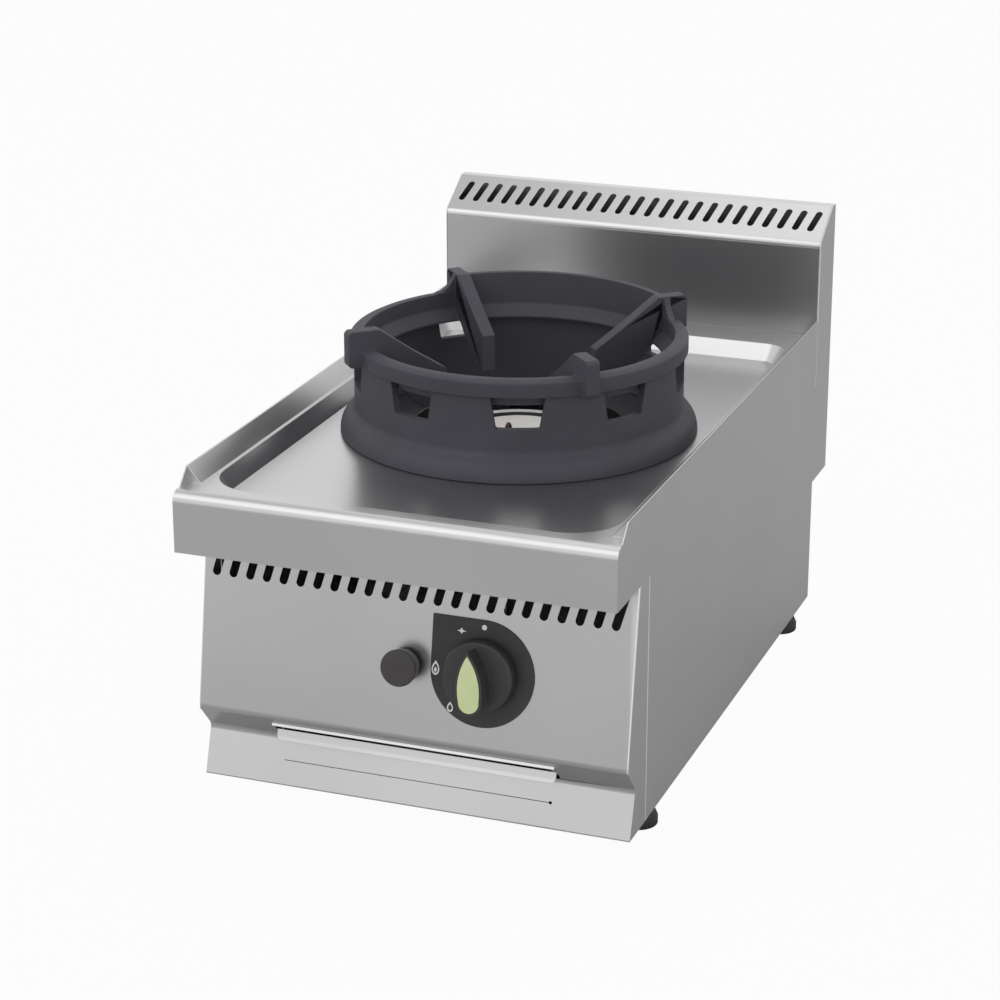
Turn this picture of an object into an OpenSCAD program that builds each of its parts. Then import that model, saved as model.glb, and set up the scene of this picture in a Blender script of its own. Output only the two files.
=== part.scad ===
// Counter-top gas wok burner with a lift-off wok ring, a drip tray and one control knob.
// Front is -Y, up is +Z, the origin lies on the table under the middle of the casing.

/* [Casing] */
// Width over the side panels
body_width = 400; // [396:1:420]
// Depth from the apron to the back of the flue
body_depth = 700; // [694:1:740]
// Height of the casing under the worktop
casing_height = 228; // [226:1:250]
// Height of the feet when screwed right in
foot_height = 25; // [24:0.5:32]
// Thickness of the panels
sheet = 1.2; // [1:0.1:1.4]
// Gap between the rear edge of the side panels and the back of the flue
flue_depth = 56; // [52:1:64]

/* [Worktop] */
// Thickness of the worktop
top_sheet = 1.5; // [1.2:0.1:1.8]
// Straight height of the apron
apron_height = 45; // [42:1:50]
// Radius of the apron's rolled edge
apron_roll = 10; // [7:0.5:11]
// Height of the side rims over the ledge
rim_height = 15; // [12:0.5:18]
// Distance from the apron to the sloped ends of the rims
rim_set_back = 13; // [12:0.5:18]
// Width of the slope between ledge and rim
rim_slope = 12.5; // [10:0.5:15]
// Width of the ledge beside the recess
side_ledge = 17; // [16.5:0.5:24]
// Width of the ledge before the recess
front_ledge = 23; // [20:1:38]
// Width of the ledge behind the recess
back_ledge = 45; // [38:1:50]
// Depth of the recess
recess_depth = 15.5; // [13:0.1:18]
// Radius of the front corners of the recess
front_corner = 45; // [30:1:60]
// Radius of the rear corners of the recess
rear_corner = 25; // [15:1:35]
// How far the walls of the recess lean outwards
recess_slant = 10; // [6:0.5:12]
// Height of the splashback over the ledge
splash_height = 90; // [84:1:100]
// Radius of the hole over the burner
burner_hole = 100; // [99:0.5:104]
// Distance of the burner's axis behind the middle of the recess
burner_shift = 5; // [1:0.5:9]

/* [Flue] */
// Rise of the slanted top
flue_rise = 32.6; // [28:0.2:38]
// Width of the flat strip along the rear edge
flue_flat = 11; // [8:0.5:14]
// How far the flue hangs below the worktop seam
flue_drop = 102; // [90:1:110]
// Number of slots in the slanted top
flue_slots = 25; // [9:2:25]
// Distance from the side to the middle of the first slot in the slanted top
flue_slot_margin = 13.52; // [12:0.02:40]
// Length of a slot in the slanted top
flue_slot_length = 28; // [20:1:30]
// Width of a slot in the slanted top
flue_slot_width = 6.6; // [5:0.2:7.6]

/* [Control panel] */
// Distance from the apron's face to the panel at the seam
panel_set_back = 62.4; // [58:0.2:66]
// Lean of the panel
panel_lean = 9.46; // [8:0.1:11]
// Height of the strip under the joggle
strip_height = 42.9; // [40:0.1:46]
// Depth of the joggle under the face
joggle_depth = 22.6; // [21:0.1:24]
// Height of the joggle under the face
joggle_drop = 25.4; // [24:0.1:26]
// How far the lower strip leans to the front
strip_kick = 13.9; // [10:0.1:16]
// Distance from the apron's face to the rear edge of the panel's returns
panel_return = 87.5; // [84:0.5:92]
// Number of slots under the apron
panel_slots = 24; // [8:2:24]
// Distance from the side to the middle of the first slot under the apron
panel_slot_margin = 15.54; // [14:0.02:40]
// Length of a slot under the apron
panel_slot_length = 35; // [28:1:36]
// Width of a slot under the apron
panel_slot_width = 7.6; // [6:0.2:8]

/* [Controls] */
// Distance from the panel's lower bend up to the knob's axis
control_rise = 67.9; // [66:0.1:70]
// Distance from the panel's lower bend up to the igniter's axis
igniter_rise = 66.9; // [65:0.1:69]
// Place of the knob across the panel
knob_x = 65; // [60:1:72]
// Radius of the dial plate
dial_radius = 47.3; // [44:0.1:49]
// Radius of the knob
knob_radius = 32; // [30:0.5:34]
// Height of the knob's grip over the panel
knob_reach = 36; // [32:0.5:40]
// How far the knob can be pushed in
knob_travel = 3; // [2:0.1:3.2]
// Place of the igniter across the panel
igniter_x = -5.5; // [-20:0.5:-4]
// Radius of the igniter button's face
button_radius = 16.4; // [15.2:0.1:17]
// Height of the igniter button over the panel
button_reach = 19.5; // [18:0.5:23]
// How far the igniter button can be pushed in
button_travel = 4.5; // [3:0.1:4.6]

/* [Drip tray] */
// Distance from the side to the tray's wall
tray_inset = 69; // [66:1:76]
// Distance from the tray's back to the rear panel
tray_end_gap = 57.6; // [50:0.2:110]
// Height of the tray's walls
tray_wall = 11; // [9:0.2:11.4]

/* [Wok ring] */
// Gap between the ring's foot and the wall of the recess
ring_gap = 7.6; // [4:0.2:12]
// How far the ring's foot stands out from its wall
foot_flare = 13.4; // [12.4:0.2:15.4]
// Thickness of the ring's wall
ring_thick = 8; // [7:0.2:9]
// Height of the castellated base
ring_height = 75.5; // [73:0.1:79]
// How far the pan ring's band stands out from the ring's wall
band_jut = 3.5; // [2.5:0.1:5]
// Height of the pan ring's band
band_height = 16; // [14:0.2:18]
// Height of the lugs over the underside of the band
lug_height = 34; // [30:0.2:36]
// Thickness of an arm
arm_thick = 13; // [11:0.2:15]
// Length of an arm with its lug
arm_length = 94; // [90:0.5:98]
// How far the ring is turned as it stands
ring_turn = -2.5; // [-2.5:0.1:2]

/* [Burner] */
// Radius of the burner cap
cap_radius = 50; // [46:0.5:54]
// Outer radius of the burner head
head_radius = 68; // [66:0.5:70]
// Height of the burner's rim over the worktop seam
burner_level = 33; // [31:0.5:34]

/* [Feet] */
// Radius of a foot pad
pad_radius = 17.3; // [15:0.1:18]
// Distance from the side to a foot's axis
foot_inset = 20; // [19:0.5:26]
// Distance from the apron to the front feet
front_foot = 132.5; // [125:0.5:140]
// Distance from the back of the flue to the rear feet
rear_foot = 90; // [85:1:105]
// How far a foot can be screwed out
foot_travel = 10; // [5:0.5:10]

/* [Hidden] */
$fn = 96;

// Clearances
slip = 0.05;
seat_gap = 0.02;
free_gap = 0.4;
cut = 1;

// Main planes
half_width = body_width / 2;
inner_half = half_width - sheet;
front_y = -body_depth / 2;
back_y = body_depth / 2;
flue_overlap = 2;
splash_y = back_y - flue_depth;
body_back_y = splash_y + flue_overlap;
bottom_z = foot_height;
seam_z = foot_height + casing_height;
ledge_z = seam_z + apron_height + apron_roll;
rim_z = ledge_z + rim_height;
floor_z = ledge_z - recess_depth;
splash_z = ledge_z + splash_height;
flange = 12;

// Recess
recess_half = half_width - side_ledge;
recess_front_y = front_y + front_ledge;
recess_back_y = splash_y - back_ledge;
burner_y = (recess_front_y + recess_back_y) / 2 + burner_shift;
recess_lean = recess_slant / recess_depth;
recess_skin = top_sheet * sqrt(1 + recess_lean * recess_lean);
splash_cove = 0.6;
hole_collar = 8;

// Flue outline, from the top of the splashback to the bottom of the rear face
flue_step = 5;
flue_bend = 8;
flue_return_gap = 1;
flue_seam = [splash_y, splash_z];
flue_corner = [splash_y, splash_z + flue_step];
flue_ridge = [back_y - flue_flat, splash_z + flue_rise];
flue_path = [
    flue_seam,
    each bend(flue_seam, flue_corner, flue_ridge, flue_bend, 8),
    flue_ridge,
    [back_y, splash_z + flue_rise],
    [back_y, seam_z - flue_drop],
    [body_back_y + flue_return_gap, seam_z - flue_drop]
];
flue_run = flue_ridge - flue_corner;
flue_slope = atan2(flue_run[1], flue_run[0]);
flue_slot_set_back = 25.2;
flue_slot_mid = flue_corner + flue_run * flue_slot_set_back / flue_run[0];
flue_slot_slant = 11;
flue_slot_pitch = (body_width - 2 * flue_slot_margin) / (flue_slots - 1);

// Control panel outline, from the seam down to the return under the casing
panel_y = front_y + panel_set_back;
panel_drop = casing_height - joggle_drop - strip_height;
control_drop = panel_drop / cos(panel_lean) - control_rise;
igniter_drop = panel_drop / cos(panel_lean) - igniter_rise;
face_low = [panel_y - panel_drop * tan(panel_lean), seam_z - panel_drop];
joggle_low = face_low + [joggle_depth, -joggle_drop];
strip_low = [joggle_low[0] - strip_kick, bottom_z];
panel_return_y = front_y + panel_return;
panel_bend = 8;
panel_tab = 14;
tab_gap = 2;
tab_half = half_width - flange - tab_gap;
base_set_back = 6;
base_front_y = strip_low[0] + base_set_back;
bottom_return = 22;
panel_path = bent([[panel_y, seam_z], face_low, joggle_low, strip_low], panel_bend, 6);
panel_slot_slant = 14.5;
panel_slot_pitch = (body_width - 2 * panel_slot_margin) / (panel_slots - 1);
panel_slot_low = 40.3;
stem_hole = 9;

// Knob, valve and igniter, measured outwards from the panel's face
dial_thick = 1.5;
knob_base = dial_thick + knob_travel + free_gap;
knob_disc = 10;
knob_edge = 2;
knob_rest = 5;
drop_flank = 52.9;
drop_half = 9.9;
drop_widest = 8;
drop_round = 9.2;
drop_round_y = -17.4;
grip_margin = 2.2;
pointer_inset = 1;
pointer_proud = 0.3;
pointer_gap = 0.15;
stem_radius = 4;
stem_top = 22;
stem_low = -30;
rod_radius = 2.5;
rod_top = -26;
rod_low = -44;
valve_front = -10;
valve_low = -52;
valve_half = 17;
valve_half_height = 20;
valve_flange = 14;
bush_radius = 7;
port_length = 6;
outlet_level = -40;
outlet_radius = 10;
inlet_level = -30;
inlet_port = 12;
pilot_level = -20;
pilot_port_x = 10;
pilot_port_radius = 4;
collar_radius = 11.5;
collar_reach = 11.5;
button_low = button_travel + free_gap;
button_taper = 1.8;
button_edge = 1;
plunger_radius = 5;
plunger_low = -14;
igniter_radius = 9;
igniter_low = -58;
igniter_nut = 16;
igniter_nut_thick = 5;

// Drip tray
tray_lift = 0.5;
tray_floor_z = joggle_low[1] + tray_lift;
tray_sheet = 0.8;
tray_jut = 11;
tray_half = half_width - tray_inset;
tray_front_y = joggle_low[0] - tray_jut;
tray_back_y = body_back_y - tray_end_gap;
tray_mouth = 2;
tray_corner = 5;
tray_gap = 1.2;
tray_headroom = 6.3;
opening_z = tray_floor_z + tray_wall + tray_headroom;
lip_drop = 1.2;
lip_height = 9.2;
lip_set_back = 4;
lip_flare = [2, 3.3];
lip_bend = 4;
lip_z = tray_floor_z - lip_drop;
lip_top = [tray_front_y + lip_set_back, lip_z + lip_height];
lip_path = bent([lip_top, [tray_front_y, lip_z] + lip_flare, [tray_front_y, lip_z]], lip_bend, 4);
lip_floor_y = tray_front_y + lip_flare[0] * lip_drop / lip_flare[1] + tray_sheet;
hem_drop = 2.2;
hem_kick = 1.5;
slit_inset = 5.5;
slit_half = tray_half - slit_inset;
slit_drop = 22.4;
slit_width = 0.4;
slit_eye = 1.3;
tray_play = 0.5;
runner_inner = tray_half + tray_play;
runner_shelf = 14;
runner_foot = 18;
runner_jut = 20;
runner_front_y = panel_return_y - runner_jut;

// Wok ring, heights over the recess floor
ring_foot = recess_half - recess_slant - ring_gap;
ring_wall = ring_foot - foot_flare;
ring_inner = ring_wall - ring_thick;
foot_edge = 0.8;
foot_round = 21.6;
foot_fillet = 10;
window_low = 46;
window_low_half = 19;
window_top_half = 24;
window_step = 39;
band_radius = ring_wall + band_jut;
band_lip = 1;
band_inner = ring_inner - band_lip;
spigot_play = 0.5;
spigot_radius = ring_inner - spigot_play;
spigot_drop = 10;
spigot_width = 10;
spigot_edge = 1;
spigot_inner = band_inner - spigot_width;
band_bevel = 2.7;
band_bevel_in = 5.5;
guard_set_in = 0.5;
guard_radius = band_radius - band_bevel_in - guard_set_in;
guard_drop = 1.7;
guard_top = ring_height + lug_height - guard_drop;
guard_fillet = 24;
fillet_bite = 0.05;
guard_inner = band_inner + fillet_bite;
guard_fillet_angle = atan((guard_fillet + arm_thick / 2) / band_inner);
lug_jut = 16;
lug_radius = ring_wall + lug_jut;
lug_depth = 30;
lug_inner = lug_radius - lug_depth;
lug_top = ring_height + lug_height;
lug_bevel = 3;
arm_tip_top = 66;
arm_tip_low = 31;
arm_reach = lug_radius - arm_length;
arm_ramp = [30, 19.3];
arm_knee = [arm_reach, arm_tip_top] + arm_ramp;
arm_heel_run = 24;
arm_heel = arm_reach + arm_heel_run;

// Burner
head_top_z = seam_z + burner_level;
head_rim = 7;
groove_inner = 27;
head_bore = 20;
groove_depth = 11;
seat_drop = 5;
seat_z = head_top_z - seat_drop;
bore_depth = 59;
head_floor_z = head_top_z - bore_depth;
head_height = 70;
head_low_z = head_top_z - head_height;
head_foot = 34;
neck_drop = 36;
head_neck_z = head_top_z - neck_drop;
edge_drop = 9;
head_edge_z = head_top_z - edge_drop;
port_radius = 1.8;
port_drop = 3;
cap_hub = 5;
cap_edge = 3.5;
cap_bevel = 2;
cap_top = 7.5;
tube_drop = 47;
tube_z = head_top_z - tube_drop;
tube_radius = 17;
tube_wall = 2.5;
boss_radius = 21;
boss_reach = 42;
tube_seat = 24;
tube_set_back = 160;
tube_mouth_y = front_y + tube_set_back;
bell_radius = 26;
bell_length = 20;
injector_hex = 9;
injector_body = 12;
injector_wall = 4;
nozzle_length = 8;
nozzle_base = 6;
nozzle_tip = 3.5;
nozzle_bore = 1;
injector_gap = 4;
injector_y = tube_mouth_y - injector_gap - injector_body - nozzle_length;
bracket_thick = 3;
bracket_half = 25;
bracket_tab = 23;

// Pipes
elbow_swell = 1.2;
supply_radius = 8;
supply_inset = 50;
supply_x = half_width - supply_inset;
supply_drop = 38;
supply_z = seam_z - flue_drop - supply_drop;
burner_pipe_radius = 6;
pilot_pipe_radius = 2;
inlet_radius = 10.48;
inlet_bore = 7;
inlet_reach = 33;
inlet_hex = 17;
inlet_hex_thick = 7;
inlet_wall = 4;
inlet_nut_thick = 8;
inlet_shank = 16;
valve_y = panel_point(knob_x, -control_drop, inlet_level)[1];
valve_z = panel_point(knob_x, -control_drop, inlet_level)[2];
port_up = valve_half_height + port_length + seat_gap - control_drop;

// Pilot group, standing before the burner, heights over its plate
group_reach = 77;
group_y = burner_y - group_reach;
plate_drop = 21;
plate_z = head_top_z - plate_drop;
plate_thick = 2;
plate_half = 11;
leg_x = 40;
leg_y = group_y - plate_half;
leg_width = 18;
probe_x = 18;
probe_radius = 3;
probe_tail = 6;
probe_top = 56;
probe_hex = 5;
probe_hex_thick = 5;
electrode_x = 29;
ceramic_radius = 4.2;
ceramic_shoulder = 5.5;
ceramic_collar = 4;
ceramic_neck = 3.4;
ceramic_top = 24;
ceramic_tail = 22;
spark_radius = 1.2;
spark_top = 38;
pilot_x = 43;
pilot_neck = 4;
pilot_radius = 6;
pilot_body = 10;
pilot_top = 14;
pilot_bore = 2.5;
pilot_hole = 1.2;
pilot_tail = 18;
pilot_low_z = plate_z - pilot_tail;
pilot_rise = 6;

// Feet
base_z = bottom_z + sheet;
pad_edge = 8;
pad_bevel = 1;
pad_floor = 4;
pad_neck = 10;
stud_radius = 5;
stud_spare = 7.6;
nut_radius = 9.5;
nut_thick = 8;
stud_top = foot_height + 2 * sheet + nut_thick + foot_travel + stud_spare;
foot_x = half_width - foot_inset;
front_foot_y = front_y + front_foot;
rear_foot_y = back_y - rear_foot;

// Openings of the rear and base panels
exhaust_inset = 70;
exhaust_half = half_width - exhaust_inset;
exhaust_drop = 20;
exhaust_height = 70;
vent_count = 7;
vent_pitch = 24;
vent_length = 64;
vent_width = 10;

// Rear panel screws
screw_inset = 7;
screw_x = inner_half - screw_inset;
screw_radius = 1.9;
screw_head = 3.8;
screw_head_thick = 2.2;
screw_heights = [20, 62, 104];

function unit(v) = v / norm(v);

function left_of(a, b) = let (d = unit(b - a)) [-d[1], d[0]];

// Point of a path moved sideways by t, mitred at the bends
function moved(path, i, t) =
    i == 0 ? path[0] + t * left_of(path[0], path[1]) :
    i == len(path) - 1 ? path[i] + t * left_of(path[i - 1], path[i]) :
    let (m = left_of(path[i - 1], path[i]), n = left_of(path[i], path[i + 1]), k = unit(m + n))
    path[i] + k * t / (k * m);

// Closed outline of a folded sheet that follows a path
function folded(path, t) = concat(path, [for (i = [len(path) - 1:-1:0]) moved(path, i, t)]);

// Points of an arc from one angle to another
function arc(center, radius, from, to, n) =
    [for (i = [0:n]) center + radius * [cos(from + (to - from) * i / n), sin(from + (to - from) * i / n)]];

// Points of a rounded bend at p between a and b
function bend(a, p, b, r, n) =
    let (
        u = unit(a - p),
        v = unit(b - p),
        half = acos(u * v) / 2,
        c = p + unit(u + v) * r / sin(half),
        s = p + u * r / tan(half) - c,
        e = p + v * r / tan(half) - c,
        step = sign(cross(s, e)) * (180 - 2 * half) / n
    )
    [for (i = [0:n]) c + [
        s[0] * cos(step * i) - s[1] * sin(step * i),
        s[0] * sin(step * i) + s[1] * cos(step * i)
    ]];

// Path with every inner corner rounded
function bent(path, r, n) = [
    path[0],
    for (i = [1:len(path) - 2]) each bend(path[i - 1], path[i], path[i + 1], r, n),
    path[len(path) - 1]
];

// Place of a point given across, up along and out of the control panel
function panel_point(x, up, out) = [
    x,
    panel_y + up * sin(panel_lean) - out * cos(panel_lean),
    seam_z + up * cos(panel_lean) + out * sin(panel_lean)
];

// Point straight above a place behind the control panel, at height z and measured along its lean
function lifted(x, out, z) = panel_point(x, (z - seam_z - out * sin(panel_lean)) / cos(panel_lean), out);

// Turn that brings the upright onto a direction
function aim(way) = [0, acos(way[2] / norm(way)), atan2(way[1], way[0])];

module along_x(width) {
    rotate([90, 0, 90]) linear_extrude(width, center = true) children();
}

module along_y(length) {
    rotate([-90, 0, 0]) mirror([0, 1, 0]) linear_extrude(length) children();
}

module on_axis() {
    translate([0, burner_y, 0]) children();
}

module both_sides() {
    children();
    mirror([1, 0, 0]) children();
}

module on_panel(x, up) {
    translate([0, panel_y, seam_z]) rotate([90 - panel_lean, 0, 0]) translate([x, up, 0]) children();
}

// Cylinder between two heights
module post(radius, low, high) {
    translate([0, 0, low]) cylinder(r = radius, h = high - low);
}

// Plate given by its lower and upper corners
module block(low, high) {
    translate(low) cube(high - low);
}

module slot_outline(length, width) {
    square([width, length - width], center = true);
    for (y = [-1, 1]) translate([0, y * (length - width) / 2]) circle(width / 2, $fn = 32);
}

// Ball of an elbow fitting, its poles beside the bend
module elbow(from, to, radius) {
    turn = aim(cross(from, to));
    outside = unit(from) - unit(to);
    across = [cos(turn[1]) * cos(turn[2]), cos(turn[1]) * sin(turn[2]), -sin(turn[1])];
    beside = [-sin(turn[2]), cos(turn[2]), 0];
    rotate(turn) rotate(atan2(outside * beside, outside * across)) sphere(radius, $fn = 48);
}

// Round bar through a list of points, with an elbow fitting at each bend
module pipe(points, radius) {
    for (i = [0:len(points) - 2]) {
        run = points[i + 1] - points[i];
        translate(points[i]) rotate(aim(run)) cylinder(r = radius, h = norm(run), $fn = 48);
    }
    for (i = [1:len(points) - 2]) translate(points[i])
        elbow(points[i] - points[i - 1], points[i + 1] - points[i], radius * elbow_swell);
}

module hexagon(radius, length) {
    cylinder(r = radius, h = length, $fn = 6);
}

// Worktop

module apron_profile() {
    translate([front_y, seam_z]) square([top_sheet, apron_height]);
    translate([front_y, seam_z]) square([flange, top_sheet]);
    translate([front_y + apron_roll, seam_z + apron_height]) difference() {
        circle(apron_roll);
        circle(apron_roll - top_sheet);
        translate([0, -apron_roll]) square(2 * apron_roll);
        translate([-apron_roll, -2 * apron_roll]) square(2 * apron_roll);
    }
    translate([front_y + apron_roll, ledge_z - top_sheet])
        square([splash_y - splash_cove - front_y - apron_roll, top_sheet]);
}

module splash_profile() {
    translate([splash_y - splash_cove, ledge_z + splash_cove]) intersection() {
        difference() {
            circle(splash_cove + top_sheet);
            circle(splash_cove);
        }
        translate([0, -splash_cove - top_sheet]) square(splash_cove + top_sheet);
    }
    translate([splash_y, ledge_z + splash_cove]) square([top_sheet, splash_height - splash_cove]);
}

module skirt_profile() {
    difference() {
        union() {
            translate([front_y + apron_roll, seam_z + apron_height]) circle(apron_roll);
            polygon([
                [front_y, seam_z],
                [front_y, seam_z + apron_height],
                [front_y + apron_roll, seam_z + apron_height],
                [front_y + apron_roll, ledge_z],
                [front_y + rim_set_back, ledge_z],
                [front_y + rim_set_back + rim_height, rim_z],
                [splash_y, rim_z],
                [splash_y, seam_z]
            ]);
        }
        translate([front_y, seam_z - 2 * apron_roll]) square([body_depth, 2 * apron_roll]);
    }
}

// Section of the slope, with the middle of the rim at x = 0 and the ledge at y = 0
module slope_profile() {
    half = top_sheet / 2;
    polygon([
        [0, -half],
        [half + rim_slope, -half],
        [half + rim_slope, 0],
        [half, rim_height],
        [0, rim_height]
    ]);
}

// The slope begins behind the slanted front end of the rim
module inner_slope() {
    start = front_y + rim_set_back + rim_height;
    translate([half_width - top_sheet / 2, start, ledge_z])
        mirror([1, 0, 0]) along_y(splash_y - start) slope_profile();
}

// Section of the recess from its middle part to a wall, given by its length at ledge height
module wall_wedge(reach, low, high) {
    polygon([
        [0, low],
        [reach + (low - ledge_z) * recess_lean, low],
        [reach + (high - ledge_z) * recess_lean, high],
        [0, high]
    ]);
}

// Hollow of the recess between two heights, its walls moved outwards by a margin
module recess_form(margin, low, high) {
    front_mid = recess_front_y + front_corner;
    rear_mid = recess_back_y - rear_corner;
    front_x = recess_half - front_corner;
    rear_x = recess_half - rear_corner;
    front_reach = front_corner + margin;
    rear_reach = rear_corner + margin;
    block([-front_x, front_mid, low], [front_x, rear_mid, high]);
    translate([0, front_mid, 0]) mirror([0, 1, 0]) along_x(2 * front_x) wall_wedge(front_reach, low, high);
    translate([0, rear_mid, 0]) along_x(2 * rear_x) wall_wedge(rear_reach, low, high);
    both_sides() {
        translate([front_x, front_mid, 0]) {
            along_y(rear_mid - front_mid) wall_wedge(front_reach, low, high);
            rotate(270) rotate_extrude(angle = 90) wall_wedge(front_reach, low, high);
        }
        translate([rear_x, rear_mid, 0]) rotate_extrude(angle = 90) wall_wedge(rear_reach, low, high);
    }
}

module worktop() color("Silver") difference() {
    union() {
        along_x(body_width - top_sheet) apron_profile();
        along_x(2 * inner_half) splash_profile();
        both_sides() {
            translate([half_width - top_sheet / 2, 0, 0]) along_x(top_sheet) skirt_profile();
            block([half_width - flange, front_y, seam_z], [half_width, splash_y, seam_z + top_sheet]);
            inner_slope();
        }
        recess_form(recess_skin, floor_z - top_sheet, ledge_z);
        on_axis() post(burner_hole + top_sheet, floor_z - hole_collar, floor_z - top_sheet / 2);
    }
    recess_form(0, floor_z, ledge_z + cut);
    on_axis() post(burner_hole, floor_z - hole_collar - cut, ledge_z);
}

// Flue

module flue_slot_row() {
    for (i = [0:flue_slots - 1]) {
        x = (i - (flue_slots - 1) / 2) * flue_slot_pitch;
        translate([x, flue_slot_mid[0], flue_slot_mid[1]]) rotate([flue_slope, 0, 0]) rotate(-flue_slot_slant)
            linear_extrude(6 * sheet, center = true) slot_outline(flue_slot_length, flue_slot_width);
    }
}

module flue_cover() color("Gainsboro") difference() {
    along_x(2 * inner_half) polygon(folded(flue_path, -sheet));
    flue_slot_row();
}

module flue_cheek() {
    translate([inner_half + sheet / 2, 0, 0]) along_x(sheet) polygon([
        [splash_y, seam_z],
        for (i = [0:len(flue_path) - 2]) flue_path[i],
        [body_back_y, seam_z - flue_drop],
        [body_back_y, seam_z]
    ]);
}

module flue_side_left() color("Silver") mirror([1, 0, 0]) flue_cheek();

module flue_side_right() color("Silver") flue_cheek();

// Casing

module side_sheet() {
    front = panel_return_y + free_gap;
    block([inner_half, front, bottom_z], [half_width, body_back_y, seam_z]);
    block([half_width - flange, front, bottom_z], [half_width, body_back_y, base_z]);
    block([half_width - flange, front, seam_z - sheet], [half_width, body_back_y - sheet, seam_z]);
    block([half_width - flange, front, bottom_z], [half_width, front + sheet, seam_z]);
    block([half_width - flange, body_back_y - 2 * sheet, bottom_z],
        [half_width, body_back_y - sheet, seam_z]);
}

module side_panel_left() color("Silver") mirror([1, 0, 0]) screwed_side();

module side_panel_right() color("Silver") screwed_side();

module screwed_side() {
    difference() {
        side_sheet();
        for (z = screw_heights) screw_place(screw_x, z) screw_shank(slip);
    }
}

module screw_place(x, z) {
    translate([x, body_back_y, bottom_z + z]) rotate([-90, 0, 0]) children();
}

module screw_shank(gap) {
    post(screw_radius + gap, -4 * sheet, cut);
}

module each_screw() {
    for (s = [-1, 1], z = screw_heights) screw_place(s * screw_x, z) children();
}

module rear_screws() color("DimGray") each_screw() {
    post(screw_radius, -4 * sheet, screw_head_thick / 2);
    post(screw_head, 0, screw_head_thick);
}

module rear_panel() color("Silver") difference() {
    block([-inner_half, body_back_y - sheet, base_z],
        [inner_half, body_back_y, ledge_z - top_sheet - free_gap]);
    block([-exhaust_half, body_back_y - 3 * sheet, seam_z - exhaust_drop - exhaust_height],
        [exhaust_half, body_back_y + cut, seam_z - exhaust_drop]);
    each_screw() screw_shank(slip);
    translate([supply_x, body_back_y - 3 * sheet, supply_z]) rotate([-90, 0, 0])
        cylinder(r = inlet_radius + slip, h = 6 * sheet);
}

module each_foot() {
    for (s = [-1, 1], y = [front_foot_y, rear_foot_y]) translate([s * foot_x, y, 0]) children();
}

module base_panel() color("Silver") difference() {
    union() {
        block([-inner_half + free_gap, base_front_y, base_z],
            [inner_half - free_gap, body_back_y - 2 * sheet, base_z + sheet]);
        both_sides() block([inner_half - free_gap - sheet, panel_return_y, base_z],
            [inner_half - free_gap, body_back_y - 3 * sheet, base_z + flange]);
    }
    each_foot() post(stud_radius + slip, base_z - cut, base_z + flange);
    both_sides() {
        block([half_width - flange - free_gap, body_back_y - 3 * sheet, base_z - cut],
            [half_width, body_back_y, base_z + flange]);
        block([half_width - flange - free_gap, front_y, base_z - cut],
            [half_width, panel_return_y + 2 * free_gap + sheet, base_z + flange]);
    }
    for (i = [0:vent_count - 1]) translate([(i - (vent_count - 1) / 2) * vent_pitch, burner_y, base_z])
        linear_extrude(6 * sheet, center = true) slot_outline(vent_length, vent_width);
}

module foot_nuts() color("DimGray") each_foot() difference() {
    translate([0, 0, base_z + sheet]) hexagon(nut_radius, nut_thick);
    post(stud_radius + slip, base_z, base_z + sheet + nut_thick + cut);
}

// Control panel

module panel_slot_row() {
    rise = (panel_slot_length - panel_slot_width) * cos(panel_slot_slant) + panel_slot_width;
    for (i = [0:panel_slots - 1]) {
        x = (i - (panel_slots - 1) / 2) * panel_slot_pitch;
        on_panel(x, rise / 2 - panel_slot_low) rotate(-panel_slot_slant)
            linear_extrude(6 * sheet, center = true) slot_outline(panel_slot_length, panel_slot_width);
    }
}

module tray_opening() {
    half = tray_half + tray_gap;
    block([-half, face_low[0] - cut, joggle_low[1] - free_gap / 2], [half, panel_return_y, opening_z]);
}

module strip_slit() {
    along = (strip_low - joggle_low) / norm(strip_low - joggle_low);
    spot = joggle_low + along * slit_drop;
    block([-slit_half, spot[0] - 4 * sheet, spot[1] - slit_width / 2],
        [slit_half, spot[0] + 4 * sheet, spot[1] + slit_width / 2]);
    translate([slit_half, spot[0], spot[1]]) rotate([90, 0, 0])
        cylinder(r = slit_eye, h = 8 * sheet, center = true, $fn = 32);
}

module panel_side() {
    translate([inner_half + sheet / 2, 0, 0]) along_x(sheet)
        polygon(concat(panel_path, [[panel_return_y, bottom_z], [panel_return_y, seam_z]]));
}

// Folded edge over the tray's mouth
module tray_hem() {
    edge = joggle_low - (opening_z - joggle_low[1]) / joggle_drop * [joggle_depth, -joggle_drop];
    along_x(2 * (tray_half + tray_gap)) polygon(folded([
        edge + [sheet / 2, sheet / 2],
        edge - [hem_kick, hem_drop]
    ], tray_sheet));
}

module control_panel() color("LightGray") {
    difference() {
        union() {
            along_x(body_width) polygon(folded(panel_path, sheet));
            along_x(2 * tab_half) polygon(folded([
                [panel_y + panel_tab * tan(panel_lean), seam_z + panel_tab],
                [panel_y, seam_z],
                [panel_y - panel_tab * tan(panel_lean), seam_z - panel_tab]
            ], sheet));
            block([-half_width, strip_low[0], bottom_z],
                [half_width, strip_low[0] + bottom_return, base_z]);
            both_sides() panel_side();
        }
        panel_slot_row();
        tray_opening();
        strip_slit();
        on_panel(knob_x, -control_drop) post(stem_hole, -4 * sheet, cut);
        on_panel(igniter_x, -igniter_drop) post(collar_radius + slip, -4 * sheet, cut);
    }
    tray_hem();
}

// Knob, valve and igniter

module dial_plate() color("DimGray") on_panel(knob_x, -control_drop) difference() {
    union() {
        post(dial_radius, seat_gap, dial_thick);
        block([-dial_radius, 0, seat_gap], [0, dial_radius, dial_thick]);
    }
    post(stem_hole, -cut, dial_thick + cut);
}

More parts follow.
